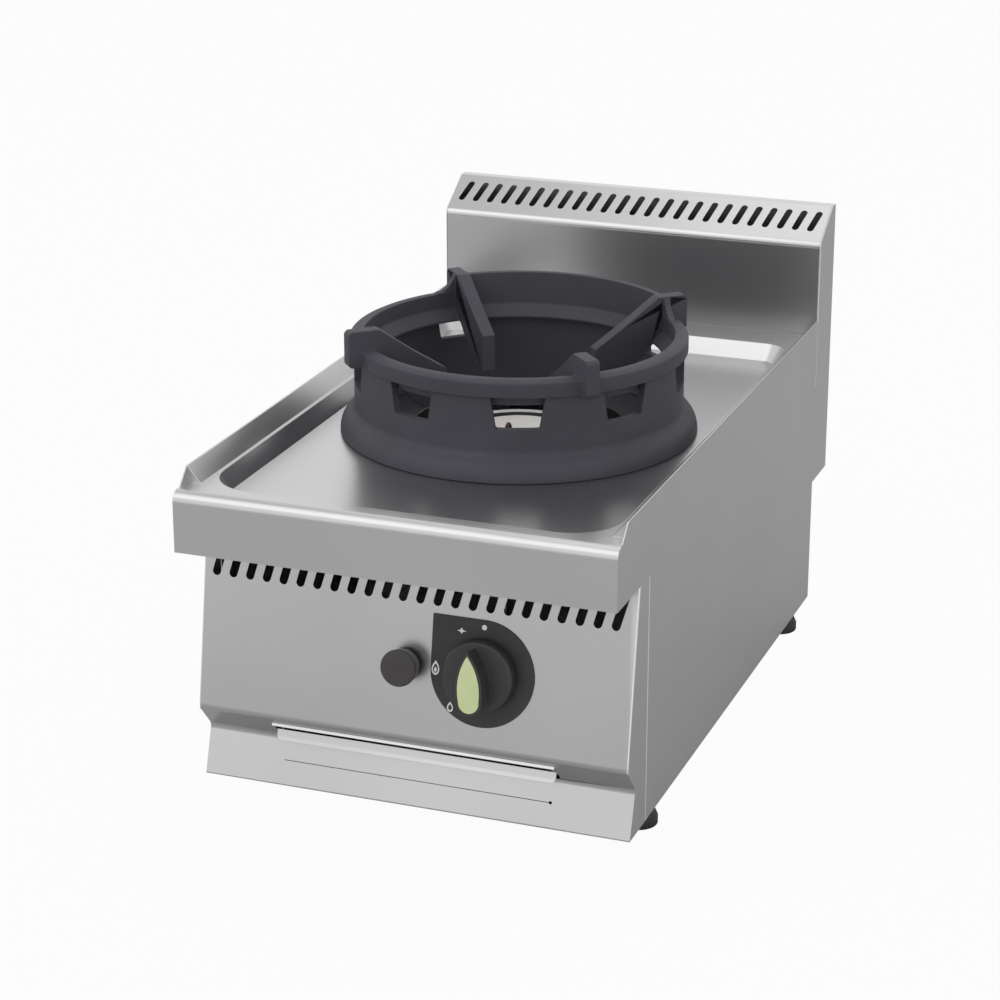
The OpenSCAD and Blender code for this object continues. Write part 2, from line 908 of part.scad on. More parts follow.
module drop_side(s, margin) {
    translate([s * (drop_flank - drop_half), -drop_widest]) circle(drop_flank + margin);
}

// Drop-shaped outline of the pointer, grown by a margin
module pointer_outline(margin) {
    rotate(knob_rest) {
        intersection() {
            drop_side(-1, margin);
            drop_side(1, margin);
            translate([-dial_radius, drop_round_y]) square(2 * dial_radius);
        }
        translate([0, drop_round_y]) circle(drop_round + margin);
    }
}

module knob() color("DarkSlateGray") on_panel(knob_x, -control_drop) difference() {
    union() {
        post(knob_radius, knob_base, knob_base + knob_disc);
        translate([0, 0, knob_base + knob_disc])
            cylinder(r1 = knob_radius, r2 = knob_radius - knob_edge, h = knob_edge);
        translate([0, 0, knob_base]) linear_extrude(knob_reach - knob_base) pointer_outline(grip_margin);
    }
    translate([0, 0, knob_reach - pointer_inset])
        linear_extrude(2 * pointer_inset) pointer_outline(pointer_gap);
    post(stem_radius + slip, knob_base - cut, stem_top);
}

module knob_pointer() color("DarkKhaki") on_panel(knob_x, -control_drop)
    translate([0, 0, knob_reach - pointer_inset])
        linear_extrude(pointer_inset + pointer_proud) pointer_outline(0);

module valve_stem() color("Goldenrod") on_panel(knob_x, -control_drop) difference() {
    post(stem_radius, stem_low, stem_top);
    post(rod_radius + slip, stem_low - cut, rod_top + free_gap);
}

module valve_rod() color("Goldenrod") on_panel(knob_x, -control_drop) post(rod_radius, rod_low, rod_top);

module valve_port(x, level, radius) {
    translate([x, valve_half_height - cut, level]) rotate([-90, 0, 0])
        cylinder(r = radius, h = port_length + cut);
}

module gas_valve() color("Goldenrod") on_panel(knob_x, -control_drop) difference() {
    union() {
        block([-valve_half, -valve_half_height, valve_low], [valve_half, valve_half_height, valve_front]);
        post(valve_flange, valve_front - cut, -sheet - seat_gap);
        post(bush_radius, -2 * sheet, dial_thick / 2);
        valve_port(0, outlet_level, outlet_radius);
        valve_port(pilot_port_x, pilot_level, pilot_port_radius);
        translate([valve_half - cut, 0, inlet_level]) rotate([0, 90, 0])
            cylinder(r = inlet_port, h = port_length + cut);
    }
    post(stem_radius + slip, stem_low - knob_travel - cut, dial_thick);
    post(rod_radius + slip, rod_low - knob_travel - cut, stem_low);
}

module igniter_button() color("DarkSlateGray") on_panel(igniter_x, -igniter_drop) {
    edge_low = button_reach - button_edge;
    difference() {
        union() {
            translate([0, 0, button_low])
                cylinder(r1 = button_radius - button_taper, r2 = button_radius, h = edge_low - button_low);
            translate([0, 0, edge_low])
                cylinder(r1 = button_radius, r2 = button_radius - button_edge, h = button_edge);
        }
        post(collar_radius + free_gap, button_low - cut, collar_reach + button_travel + free_gap);
    }
    post(plunger_radius, plunger_low, button_reach - cut);
}

module igniter_body() color("Black") on_panel(igniter_x, -igniter_drop) difference() {
    union() {
        post(collar_radius, -igniter_nut_thick - sheet - cut, collar_reach);
        translate([0, 0, -igniter_nut_thick - sheet - seat_gap]) hexagon(igniter_nut, igniter_nut_thick);
        post(igniter_radius, igniter_low, -sheet - cut);
    }
    post(plunger_radius + slip, plunger_low - button_travel - cut, collar_reach + cut);
}

// Drip tray and runners

module tray_front() {
    intersection() {
        along_x(2 * tray_half) polygon(folded(lip_path, tray_sheet));
        rotate([90, 0, 0]) linear_extrude(body_depth) tray_front_outline();
    }
}

module tray_front_outline() {
    low = lip_z - cut;
    translate([-tray_half, lip_z + tray_corner]) square([2 * tray_half, lip_height]);
    translate([-tray_half + tray_corner, low]) square([2 * (tray_half - tray_corner), lip_height]);
    for (s = [-1, 1]) translate([s * (tray_half - tray_corner), lip_z + tray_corner]) circle(tray_corner);
}

module drip_tray() color("Silver") {
    back = tray_back_y;
    side_front = joggle_low[0] + tray_mouth;
    top = tray_floor_z + tray_wall;
    tray_front();
    block([-tray_half + tray_corner, lip_floor_y, tray_floor_z],
        [tray_half - tray_corner, side_front + cut, tray_floor_z + tray_sheet]);
    block([-tray_half, side_front, tray_floor_z], [tray_half, back, tray_floor_z + tray_sheet]);
    block([-tray_half, back - tray_sheet, tray_floor_z], [tray_half, back, top]);
    both_sides() {
        block([tray_half - tray_sheet, side_front, tray_floor_z], [tray_half, back, top]);
        tray_cheek(side_front);
    }
}

// Side wall of the tray's mouth, joined to the front plate
module tray_cheek(back) {
    x = tray_half - tray_corner - tray_sheet;
    translate([x + tray_sheet / 2, 0, 0]) along_x(tray_sheet) polygon([
        [lip_floor_y, tray_floor_z],
        lip_top + [tray_sheet / 2, 0],
        [back, tray_floor_z + tray_wall],
        [back, tray_floor_z]
    ]);
    block([x, back, tray_floor_z], [tray_half, back + tray_sheet, tray_floor_z + tray_wall]);
}

module runner() {
    top = tray_floor_z - free_gap;
    y0 = runner_front_y;
    y1 = tray_back_y;
    block([runner_inner, y0, base_z + sheet], [runner_inner + sheet, y1, tray_floor_z + tray_wall]);
    block([runner_inner, y0, base_z + sheet], [runner_inner + runner_foot, y1, base_z + 2 * sheet]);
    block([runner_inner - runner_shelf, y0, top - sheet], [runner_inner + sheet, y1, top]);
}

module tray_runner_left() color("Silver") mirror([1, 0, 0]) runner();

module tray_runner_right() color("Silver") runner();

// Wok ring

module on_recess() {
    translate([0, burner_y, floor_z]) children();
}

module ring_profile() {
    mid = [ring_foot - foot_round, foot_edge];
    across = ring_wall + foot_fillet - mid[0];
    reach = foot_round + foot_fillet;
    turn = acos(across / reach);
    hollow = mid + [across, reach * sin(turn)];
    polygon(concat(
        [[ring_inner, 0], [ring_foot, 0]],
        arc(mid, foot_round, 0, turn, 10),
        arc(hollow, foot_fillet, 180 + turn, 180, 8),
        [[ring_wall, ring_height], [ring_inner, ring_height]]
    ));
}

module window_cutter() {
    rise = ring_height - window_low;
    flare = (window_top_half - window_low_half) / rise;
    top = ring_height + cut;
    top_half = window_low_half + flare * (top - window_low);
    translate([0, -ring_inner + ring_thick, 0]) rotate([90, 0, 0]) linear_extrude(4 * ring_thick) polygon([
        [-window_low_half, window_low],
        [window_low_half, window_low],
        [top_half, top],
        [-top_half, top]
    ]);
}

module ring_base() color("DimGray") on_recess() translate([0, 0, seat_gap]) difference() {
    rotate_extrude($fn = 180) ring_profile();
    for (i = [0:3], s = [-1, 1]) rotate(s * window_step * (i + 0.5)) window_cutter();
}

module band_profile() {
    top = ring_height + band_height;
    polygon([
        [band_inner, ring_height + spigot_edge],
        [spigot_inner, ring_height - spigot_drop + spigot_edge],
        [spigot_inner, ring_height - spigot_drop],
        [spigot_radius, ring_height - spigot_drop],
        [spigot_radius, ring_height],
        [band_radius, ring_height],
        [band_radius, top - band_bevel],
        [band_radius - band_bevel_in, top],
        [band_inner, top]
    ]);
}

module arm() {
    rotate([90, 0, 0]) linear_extrude(arm_thick, center = true) polygon([
        [arm_reach, arm_tip_low],
        [arm_reach, arm_tip_top],
        arm_knee,
        [lug_inner, lug_top],
        [lug_radius - lug_bevel, lug_top],
        [lug_radius, lug_top - lug_bevel],
        [lug_radius, ring_height + lug_bevel],
        [lug_radius - lug_bevel, ring_height],
        [spigot_radius - cut, ring_height],
        [spigot_radius - cut, ring_height - spigot_drop],
        [spigot_inner + cut, ring_height - spigot_drop],
        [arm_heel, arm_tip_low]
    ]);
}

module guard(from, angle) {
    low = ring_height + band_height - cut;
    rotate(from) rotate_extrude(angle = angle, $fn = 180)
        translate([guard_inner, low]) square([guard_radius - guard_inner, guard_top - low]);
}

// Run-out of the guard beside its right end
module guard_end() {
    band_top = ring_height + band_height;
    difference() {
        guard(45 - guard_fillet_angle, guard_fillet_angle);
        rotate(45) translate([0, -arm_thick / 2 - guard_fillet, band_top + guard_fillet - fillet_bite])
            rotate([0, 90, 0]) cylinder(r = guard_fillet, h = 2 * ring_wall);
        rotate(45) translate([0, -arm_thick / 2 - 3 * guard_fillet, band_top])
            cube([2 * ring_wall, 2 * guard_fillet, lug_height]);
    }
}

module pan_ring() color("DimGray") on_recess() translate([0, 0, 2 * seat_gap]) rotate(ring_turn) {
    rotate_extrude($fn = 180) band_profile();
    guard(45, 90);
    both_sides() guard_end();
    for (a = [45:90:315]) rotate(a) arm();
}

// Burner

module cap_profile() {
    polygon([
        [0, -cap_hub],
        [head_bore - free_gap, -cap_hub],
        [head_bore - free_gap, 0],
        [cap_radius, 0],
        [cap_radius, cap_edge],
        [cap_radius - cap_bevel, cap_edge + cap_bevel],
        [0, cap_top]
    ]);
}

module burner_cap() color("WhiteSmoke") on_axis() translate([0, 0, seat_z + seat_gap])
    rotate_extrude() cap_profile();

module head_profile() {
    polygon([
        [0, head_low_z],
        [head_foot, head_low_z],
        [head_foot, head_neck_z],
        [head_radius, head_edge_z],
        [head_radius, head_top_z],
        [head_radius - head_rim, head_top_z],
        [head_radius - head_rim, head_top_z - groove_depth],
        [groove_inner, head_top_z - groove_depth],
        [groove_inner, seat_z],
        [head_bore, seat_z],
        [head_bore, head_floor_z],
        [0, head_floor_z]
    ]);
}

module towards_front(y, length) {
    translate([0, y - length, tube_z]) rotate([-90, 0, 0]) children();
}

module burner_head() color("DimGray") difference() {
    union() {
        on_axis() rotate_extrude() head_profile();
        difference() {
            towards_front(burner_y - head_bore, boss_reach - head_bore)
                cylinder(r = boss_radius, h = boss_reach - head_bore);
            on_axis() post(head_bore, head_floor_z, head_top_z);
        }
    }
    towards_front(burner_y - tube_seat, boss_reach) cylinder(r = tube_radius + slip, h = boss_reach);
    towards_front(burner_y, boss_reach) cylinder(r = tube_radius - tube_wall, h = boss_reach);
    on_axis() for (a = [15:30:345]) rotate(a)
        translate([head_bore - cut, 0, seat_z - port_drop]) rotate([0, 90, 0])
            cylinder(r = port_radius, h = groove_inner - head_bore + 2 * cut, $fn = 32);
}

module mixing_tube() color("DimGray") {
    length = burner_y - tube_seat - tube_mouth_y;
    translate([0, tube_mouth_y, tube_z]) rotate([-90, 0, 0]) difference() {
        union() {
            cylinder(r = tube_radius, h = length);
            cylinder(r1 = bell_radius, r2 = tube_radius, h = bell_length);
        }
        translate([0, 0, -cut]) cylinder(r = tube_radius - tube_wall, h = length + 2 * cut);
        translate([0, 0, -cut])
            cylinder(r1 = bell_radius - tube_wall, r2 = tube_radius - tube_wall, h = bell_length);
    }
}

module burner_bracket() color("Silver") {
    block([-inner_half, burner_y - bracket_half, head_low_z - bracket_thick],
        [inner_half, burner_y + bracket_half, head_low_z]);
    both_sides() block([inner_half - bracket_thick, burner_y - bracket_half, head_low_z - bracket_tab],
        [inner_half, burner_y + bracket_half, head_low_z]);
}

module injector() color("Goldenrod") translate([0, injector_y, tube_z]) rotate([-90, 0, 0]) difference() {
    union() {
        hexagon(injector_hex, injector_body);
        translate([0, 0, injector_body])
            cylinder(r1 = nozzle_base, r2 = nozzle_tip, h = nozzle_length, $fn = 48);
    }
    post(nozzle_bore, injector_wall, injector_body + nozzle_length + cut);
}

// Pipes

module burner_pipe() color("Silver") {
    top = lifted(knob_x, outlet_level, tube_z);
    pipe([
        panel_point(knob_x, port_up, outlet_level),
        top,
        [0, top[1], tube_z],
        [0, injector_y - seat_gap, tube_z]
    ], burner_pipe_radius);
}

module supply_pipe() color("Silver") pipe([
    [knob_x + valve_half + port_length + seat_gap, valve_y, valve_z],
    [supply_x, valve_y, valve_z],
    [supply_x, valve_y, supply_z],
    [supply_x, body_back_y - inlet_shank - seat_gap, supply_z]
], supply_radius);

module pilot_pipe() color("Silver") {
    x = knob_x + pilot_port_x;
    run_z = pilot_low_z - pilot_rise;
    pipe([
        panel_point(x, port_up, pilot_level),
        lifted(x, pilot_level, run_z),
        [x, group_y, run_z],
        [pilot_x, group_y, run_z],
        [pilot_x, group_y, pilot_low_z - seat_gap]
    ], pilot_pipe_radius);
}

module on_inlet(y) {
    translate([supply_x, y, supply_z]) rotate([-90, 0, 0]) children();
}

module gas_inlet() color("Goldenrod") on_inlet(body_back_y) difference() {
    union() {
        post(inlet_radius, -inlet_shank, inlet_reach);
        hexagon(inlet_hex, inlet_hex_thick);
    }
    post(inlet_bore, -inlet_shank + inlet_wall, inlet_reach + cut);
}

module inlet_nut() color("Goldenrod") on_inlet(body_back_y - sheet) difference() {
    translate([0, 0, -inlet_nut_thick]) hexagon(inlet_hex, inlet_nut_thick);
    post(inlet_radius + slip, -inlet_nut_thick - cut, cut);
}

// Pilot group

module on_plate(x) {
    translate([x, group_y, plate_z]) children();
}

module pilot_bracket() color("Silver") difference() {
    union() {
        block([leg_x, leg_y, head_low_z], [leg_x + leg_width, burner_y, head_low_z + plate_thick]);
        block([leg_x, leg_y, head_low_z], [leg_x + leg_width, leg_y + plate_thick, plate_z + plate_thick]);
        block([probe_x - plate_half, leg_y, plate_z],
            [leg_x + leg_width, group_y + plate_half, plate_z + plate_thick]);
    }
    on_plate(probe_x) post(probe_radius + slip, -cut, 2 * plate_thick);
    on_plate(electrode_x) post(ceramic_radius + slip, -cut, 2 * plate_thick);
    on_plate(pilot_x) post(pilot_neck + slip, -cut, 2 * plate_thick);
}

module pilot_burner() color("Goldenrod") on_plate(pilot_x) difference() {
    union() {
        post(pilot_neck, pilot_low_z - plate_z, pilot_top);
        post(pilot_radius, -pilot_body, 0);
        post(pilot_radius, plate_thick, pilot_top);
    }
    post(pilot_bore, pilot_top / 2, pilot_top + cut);
    for (a = [0:60:300]) rotate(a) translate([0, 0, pilot_top - pilot_radius / 2]) rotate([0, 90, 0])
        cylinder(r = pilot_hole, h = 2 * pilot_radius, $fn = 32);
}

module thermocouple() color("DarkGoldenrod") on_plate(probe_x) {
    post(probe_radius, -probe_tail, probe_top - probe_radius);
    translate([0, 0, probe_top - probe_radius])
        cylinder(r1 = probe_radius, r2 = probe_radius / 2, h = probe_radius, $fn = 48);
    translate([0, 0, plate_thick]) hexagon(probe_hex, probe_hex_thick);
}

module spark_electrode() color("WhiteSmoke") on_plate(electrode_x) {
    post(ceramic_radius, -ceramic_tail, plate_thick + ceramic_collar);
    post(ceramic_shoulder, plate_thick, plate_thick + ceramic_collar);
    post(ceramic_neck, plate_thick, ceramic_top);
    post(spark_radius, plate_thick, spark_top);
}

// Feet

module pad() {
    top = foot_height - free_gap;
    difference() {
        union() {
            cylinder(r1 = pad_radius - pad_bevel, r2 = pad_radius, h = pad_bevel);
            post(pad_radius, pad_bevel, pad_edge);
            translate([0, 0, pad_edge]) cylinder(r1 = pad_radius, r2 = pad_neck, h = top - pad_edge);
        }
        post(stud_radius, pad_floor, foot_height);
    }
}

module stud() {
    post(stud_radius, pad_floor, stud_top);
}

module pad_front_left() color("Black") translate([-foot_x, front_foot_y, 0]) pad();

module pad_front_right() color("Black") translate([foot_x, front_foot_y, 0]) pad();

module pad_rear_left() color("Black") translate([-foot_x, rear_foot_y, 0]) pad();

module pad_rear_right() color("Black") translate([foot_x, rear_foot_y, 0]) pad();

module stud_front_left() color("Silver") translate([-foot_x, front_foot_y, 0]) stud();

module stud_front_right() color("Silver") translate([foot_x, front_foot_y, 0]) stud();

module stud_rear_left() color("Silver") translate([-foot_x, rear_foot_y, 0]) stud();

module stud_rear_right() color("Silver") translate([foot_x, rear_foot_y, 0]) stud();

worktop();
flue_cover();
flue_side_left();
flue_side_right();
side_panel_left();
side_panel_right();
rear_panel();
base_panel();
control_panel();
dial_plate();
knob();
knob_pointer();
valve_stem();
valve_rod();
gas_valve();
igniter_button();
igniter_body();
drip_tray();
tray_runner_left();
tray_runner_right();
ring_base();
pan_ring();
burner_cap();
burner_head();
burner_bracket();
mixing_tube();
injector();
burner_pipe();
supply_pipe();
pilot_pipe();
gas_inlet();
inlet_nut();
pilot_bracket();
pilot_burner();
thermocouple();
spark_electrode();
rear_screws();
foot_nuts();
pad_front_left();
pad_front_right();
pad_rear_left();
pad_rear_right();
stud_front_left();
stud_front_right();
stud_rear_left();
stud_rear_right();
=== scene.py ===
import math

import bmesh
import bpy
from mathutils import Matrix, Vector


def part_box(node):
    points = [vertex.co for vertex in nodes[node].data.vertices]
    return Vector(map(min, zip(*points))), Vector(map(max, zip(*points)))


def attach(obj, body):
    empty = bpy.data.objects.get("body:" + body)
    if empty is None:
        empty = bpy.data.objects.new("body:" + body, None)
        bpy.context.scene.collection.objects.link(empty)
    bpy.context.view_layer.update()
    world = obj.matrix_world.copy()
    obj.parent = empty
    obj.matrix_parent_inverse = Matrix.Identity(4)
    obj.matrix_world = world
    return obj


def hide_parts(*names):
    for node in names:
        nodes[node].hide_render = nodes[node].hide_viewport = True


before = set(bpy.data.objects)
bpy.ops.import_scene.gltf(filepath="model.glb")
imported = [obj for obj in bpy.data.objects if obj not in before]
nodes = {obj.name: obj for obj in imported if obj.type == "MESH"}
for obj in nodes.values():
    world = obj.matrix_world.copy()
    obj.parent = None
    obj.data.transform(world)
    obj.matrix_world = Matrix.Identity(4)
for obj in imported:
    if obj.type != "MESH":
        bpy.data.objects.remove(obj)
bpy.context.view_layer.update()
scene = bpy.context.scene
print("frame loaded:", len(nodes), "nodes")


# shader helpers

# part of a noise's range that is spread over a finish
noiseSpan = (0.3, 0.7)


def grey(level):
    return (level, level, level)


def startMaterial(name):
    material = bpy.data.materials.new(name)
    material.use_nodes = True
    tree = material.node_tree
    return material, tree, tree.nodes["Principled BSDF"]


def objectNoise(tree, stretch, scale, detail, roughness):
    coords = tree.nodes.new("ShaderNodeTexCoord")
    mapping = tree.nodes.new("ShaderNodeMapping")
    mapping.inputs["Scale"].default_value = stretch
    tree.links.new(coords.outputs["Object"], mapping.inputs["Vector"])
    noise = tree.nodes.new("ShaderNodeTexNoise")
    noise.inputs["Scale"].default_value = scale
    noise.inputs["Detail"].default_value = detail
    noise.inputs["Roughness"].default_value = roughness
    tree.links.new(mapping.outputs["Vector"], noise.inputs["Vector"])
    return noise.outputs["Fac"]


def spread(tree, value, low, high, span=noiseSpan):
    ranger = tree.nodes.new("ShaderNodeMapRange")
    ranger.inputs["From Min"].default_value = span[0]
    ranger.inputs["From Max"].default_value = span[1]
    ranger.inputs["To Min"].default_value = low
    ranger.inputs["To Max"].default_value = high
    tree.links.new(value, ranger.inputs["Value"])
    return ranger.outputs["Result"]


def twoTone(tree, value, dark, light):
    ramp = tree.nodes.new("ShaderNodeValToRGB")
    for stop, place, tone in zip(ramp.color_ramp.elements, noiseSpan, (dark, light)):
        stop.position = place
        stop.color = (*tone, 1)
    tree.links.new(value, ramp.inputs["Fac"])
    return ramp.outputs["Color"]


def bumpFrom(tree, height, strength, distance):
    bump = tree.nodes.new("ShaderNodeBump")
    bump.inputs["Strength"].default_value = strength
    bump.inputs["Distance"].default_value = distance
    tree.links.new(height, bump.inputs["Height"])
    return bump.outputs["Normal"]


# finishes

# grain and clouds are noises given as scale, detail and roughness, and bump is a strength and a depth
sheetFamily = {"stretch": (0.02, 1, 1), "grain": (1100.0, 2.0, 0.5), "clouds": (6.0, 2.0, 0.5),
               "bump": (0.0025, 0.0002), "metallic": 1.0, "shine": 0.5}
castFamily = {"stretch": (1, 1, 1), "grain": (420.0, 4.0, 0.6), "clouds": (14.0, 3.0, 0.5),
              "bump": (0.16, 0.0004), "metallic": 0.0, "shine": 0.5}
plasticFamily = {"stretch": (1, 1, 1), "grain": (900.0, 3.0, 0.6), "clouds": (40.0, 2.0, 0.5),
                 "bump": (0.08, 0.0002), "metallic": 0.0, "shine": 0.5}
turnedFamily = {"stretch": (1, 1, 8), "grain": (500.0, 2.0, 0.5), "clouds": (30.0, 3.0, 0.5),
                "bump": (0.02, 0.0002), "metallic": 1.0, "shine": 0.5}


def makeFinish(name, family, dark, light, rough, **changes):
    look = {**family, **changes}
    material, tree, shader = startMaterial(name)
    grain = objectNoise(tree, look["stretch"], *look["grain"])
    clouds = objectNoise(tree, (1, 1, 1), *look["clouds"])
    tree.links.new(twoTone(tree, clouds, dark, light), shader.inputs["Base Color"])
    tree.links.new(spread(tree, grain, *rough), shader.inputs["Roughness"])
    tree.links.new(bumpFrom(tree, grain, *look["bump"]), shader.inputs["Normal"])
    shader.inputs["Metallic"].default_value = look["metallic"]
    shader.inputs["Specular IOR Level"].default_value = look["shine"]
    return material


# each finish has a dark tone, a light tone and a range of roughness
sheetTones = (grey(0.575), grey(0.605), (0.275, 0.295))
frontSheet = makeFinish("satin_sheet_across", sheetFamily, *sheetTones)
sideSheet = makeFinish("satin_sheet_lengthwise", sheetFamily, *sheetTones, stretch=(1, 0.02, 1))

ringCast = makeFinish("ring_cast", castFamily, (0.050, 0.0485, 0.061), (0.062, 0.0605, 0.075),
                      (0.54, 0.68), shine=0.34)
headCast = makeFinish("burner_cast", castFamily, (0.05, 0.048, 0.046), (0.085, 0.08, 0.076),
                      (0.55, 0.75))

dialGrey = makeFinish("dial_grey", plasticFamily, (0.030, 0.030, 0.031), (0.037, 0.037, 0.038),
                      (0.42, 0.55))
knobGrey = makeFinish("knob_grey", plasticFamily, (0.032, 0.032, 0.033), (0.042, 0.042, 0.043),
                      (0.38, 0.5))
buttonGrey = makeFinish("button_grey", plasticFamily, (0.045, 0.038, 0.039), (0.058, 0.050, 0.051),
                        (0.4, 0.5))
pointerGreen = makeFinish("pointer_green", plasticFamily, (0.58, 0.66, 0.33), (0.67, 0.745, 0.42),
                          (0.3, 0.4))
footBlack = makeFinish("foot_black", plasticFamily, grey(0.016), grey(0.024), (0.5, 0.65))
markWhite = makeFinish("mark_white", plasticFamily, grey(0.86), grey(0.92), (0.4, 0.5))
ceramicWhite = makeFinish("ceramic_white", plasticFamily, (0.70, 0.69, 0.65), (0.80, 0.79, 0.75),
                          (0.15, 0.25))

zincSteel = makeFinish("zinc_steel", turnedFamily, (0.45, 0.46, 0.46), (0.56, 0.57, 0.57), (0.3, 0.45))
brassTurned = makeFinish("brass_turned", turnedFamily, (0.55, 0.40, 0.17), (0.66, 0.50, 0.24),
                         (0.25, 0.4))
probeStained = makeFinish("probe_stained", turnedFamily, (0.10, 0.07, 0.06), (0.22, 0.15, 0.11),
                          (0.35, 0.5))
capSteel = makeFinish("cap_steel", turnedFamily, (0.84, 0.82, 0.78), (0.90, 0.89, 0.86),
                      (0.45, 0.55), metallic=0.25)
rimSteel = makeFinish("rim_steel", turnedFamily, (0.82, 0.81, 0.79), (0.88, 0.87, 0.85),
                      (0.45, 0.55), metallic=0.35)
# painted shade: a dark steel colour for the worktop's inner bend, standing in for the shade in that corner
paintedBendShade = makeFinish("painted_bend_shade", turnedFamily, grey(0.24), grey(0.28), (0.4, 0.5))
# painted highlight: a near-white steel colour on the rounded upright folds, standing in for their bright
# edge reflections
paintedEdgeHighlight = makeFinish("painted_edge_highlight", turnedFamily, grey(0.90), grey(0.96), (0.3, 0.36))
print("finishes made")


# CAD nodes that keep their own mesh

plainNodes = {
    "rear_panel": sideSheet, "base_panel": sideSheet,
    "tray_runner_left": zincSteel, "tray_runner_right": zincSteel,
    "gas_valve": brassTurned, "valve_stem": brassTurned, "valve_rod": brassTurned,
    "igniter_body": footBlack,
    "burner_bracket": zincSteel, "mixing_tube": headCast, "injector": brassTurned,
    "burner_pipe": zincSteel, "supply_pipe": zincSteel, "pilot_pipe": zincSteel,
    "gas_inlet": brassTurned, "inlet_nut": brassTurned,
    "pilot_bracket": zincSteel, "pilot_burner": brassTurned, "thermocouple": probeStained,
    "spark_electrode": ceramicWhite, "rear_screws": zincSteel, "foot_nuts": zincSteel,
}
footPlaces = ("front_left", "front_right", "rear_left", "rear_right")
for place in footPlaces:
    plainNodes["stud_" + place] = zincSteel
for nodeName, finish in plainNodes.items():
    nodes[nodeName].data.materials.clear()
    nodes[nodeName].data.materials.append(finish)
print("plain nodes finished:", len(plainNodes))


# pieces with softened edges, made from a merged copy of a node

# fold, edge, crease and level are angles in degrees: a fold is rounded, an edge is softened, a crease
# shades sharp and a joint of level faces is dissolved; upright is the rising share of a fold's length
softRules = {"fold": 60.0, "edge": 28.0, "crease": 35.0, "level": 0.6, "upright": 0.9,
             "foldSteps": 4, "edgeSteps": 2, "merge": 2e-6, "lowest": -1.0, "faceWeight": 100}


def hardEdges(bm, angle):
    least = math.radians(angle)
    return [edge for edge in bm.edges if len(edge.link_faces) == 2 and edge.calc_face_angle(0.0) > least]


def roundEdges(bm, edges, offset, steps):
    rounded = bmesh.ops.bevel(bm, geom=edges, offset=offset, offset_type="OFFSET", affect="EDGES",
                              segments=steps, profile=0.5, material=-1, clamp_overlap=False)
    return rounded["faces"]


def bentCorners(bm, corner):
    uprights = []
    for edge in hardEdges(bm, softRules["fold"]):
        start, end = (vert.co for vert in edge.verts)
        outside = min(abs(start.x), abs(end.x)) > corner["beyond"] and max(start.y, end.y) < corner["before"]
        rising = abs(start.z - end.z) > softRules["upright"] * (start - end).length
        if outside and rising and min(start.z, end.z) > corner["above"]:
            uprights.append(edge)
    # the rounded fold gets the painted highlight as its second material
    for face in roundEdges(bm, uprights, corner["radius"], softRules["foldSteps"]):
        face.material_index = 1


def pieceFrom(bm, name, finish):
    mesh = bpy.data.meshes.new(name)
    bm.to_mesh(mesh)
    bm.free()
    mesh.materials.append(finish)
    piece = bpy.data.objects.new(name, mesh)
    scene.collection.objects.link(piece)
    return piece


def softPiece(look):
    nodeName = look["node"]
    corner = look.get("corner")
    above = look.get("above", softRules["lowest"])
    bm = bmesh.new()
    bm.from_mesh(nodes[nodeName].data)
    bmesh.ops.remove_doubles(bm, verts=bm.verts, dist=look.get("merge", softRules["merge"]))
    bmesh.ops.dissolve_limit(bm, angle_limit=math.radians(softRules["level"]),
                             verts=bm.verts, edges=bm.edges)
    if corner:
        bentCorners(bm, corner)
    edges = hardEdges(bm, softRules["edge"])
    edges = [edge for edge in edges if max(vert.co.z for vert in edge.verts) > above]
    roundEdges(bm, edges, look["edge"], softRules["edgeSteps"])
    for face in bm.faces:
        face.smooth = True
    for edge in bm.edges:
        edge.smooth = True
    for edge in hardEdges(bm, softRules["crease"]):
        edge.smooth = False
    piece = pieceFrom(bm, nodeName + "_soft", look["finish"])
    # second material for the rounded folds: the painted highlight
    if corner:
        piece.data.materials.append(paintedEdgeHighlight)
    weighted = piece.modifiers.new("faceNormals", "WEIGHTED_NORMAL")
    weighted.keep_sharp = True
    weighted.weight = softRules["faceWeight"]
    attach(piece, look["body"])
    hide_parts(nodeName)
    return piece


# upright folds with a painted highlight on their rounded edge: outside this x, before this y and above this
# z
panelCorner = {"beyond": 0.1995, "before": -0.27, "above": 0.09, "radius": 0.0012}
sideCorner = {"beyond": 0.1995, "before": -0.2, "above": 0.0, "radius": 0.0015}
cheekCorner = {"beyond": 0.1995, "before": 0.2945, "above": 0.0, "radius": 0.001}

# the worktop meets the side panels at the seam, and its edges are softened from just above it
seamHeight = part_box("side_panel_left")[1][2]
seamSkip = 0.0005

softLooks = [
    {"node": "worktop", "body": "casing", "finish": sideSheet, "slot": "stainless_sheet",
     "edge": 0.0005, "above": seamHeight + seamSkip},
    {"node": "flue_cover", "body": "casing", "finish": frontSheet, "slot": "stainless_sheet",
     "edge": 0.0004},
    {"node": "control_panel", "body": "casing", "finish": frontSheet, "slot": "stainless_sheet",
     "edge": 0.0003, "corner": panelCorner},
    {"node": "drip_tray", "body": "drip_tray", "finish": frontSheet, "slot": "stainless_sheet",
     "edge": 0.0002},
    {"node": "dial_plate", "body": "casing", "finish": dialGrey, "slot": "dial_grey", "edge": 0.0005},
    {"node": "knob", "body": "knob", "finish": knobGrey, "slot": "knob_grey", "edge": 0.0008},
    {"node": "knob_pointer", "body": "knob", "finish": pointerGreen, "slot": "pointer_green",
     "edge": 0.0002},
    {"node": "igniter_button", "body": "igniter_button", "finish": buttonGrey, "slot": "button_grey",
     "edge": 0.0006},
    {"node": "ring_base", "body": "ring_base", "finish": ringCast, "slot": "ring_iron", "edge": 0.0012},
    {"node": "pan_ring", "body": "pan_ring", "finish": ringCast, "slot": "ring_iron", "edge": 0.0012,
     "merge": 8e-5},
    {"node": "burner_cap", "body": "burner_cap", "finish": capSteel, "slot": "cap_steel", "edge": 0.0005},
    {"node": "burner_head", "body": "casing", "finish": headCast, "slot": "burner_iron", "edge": 0.0006},
]
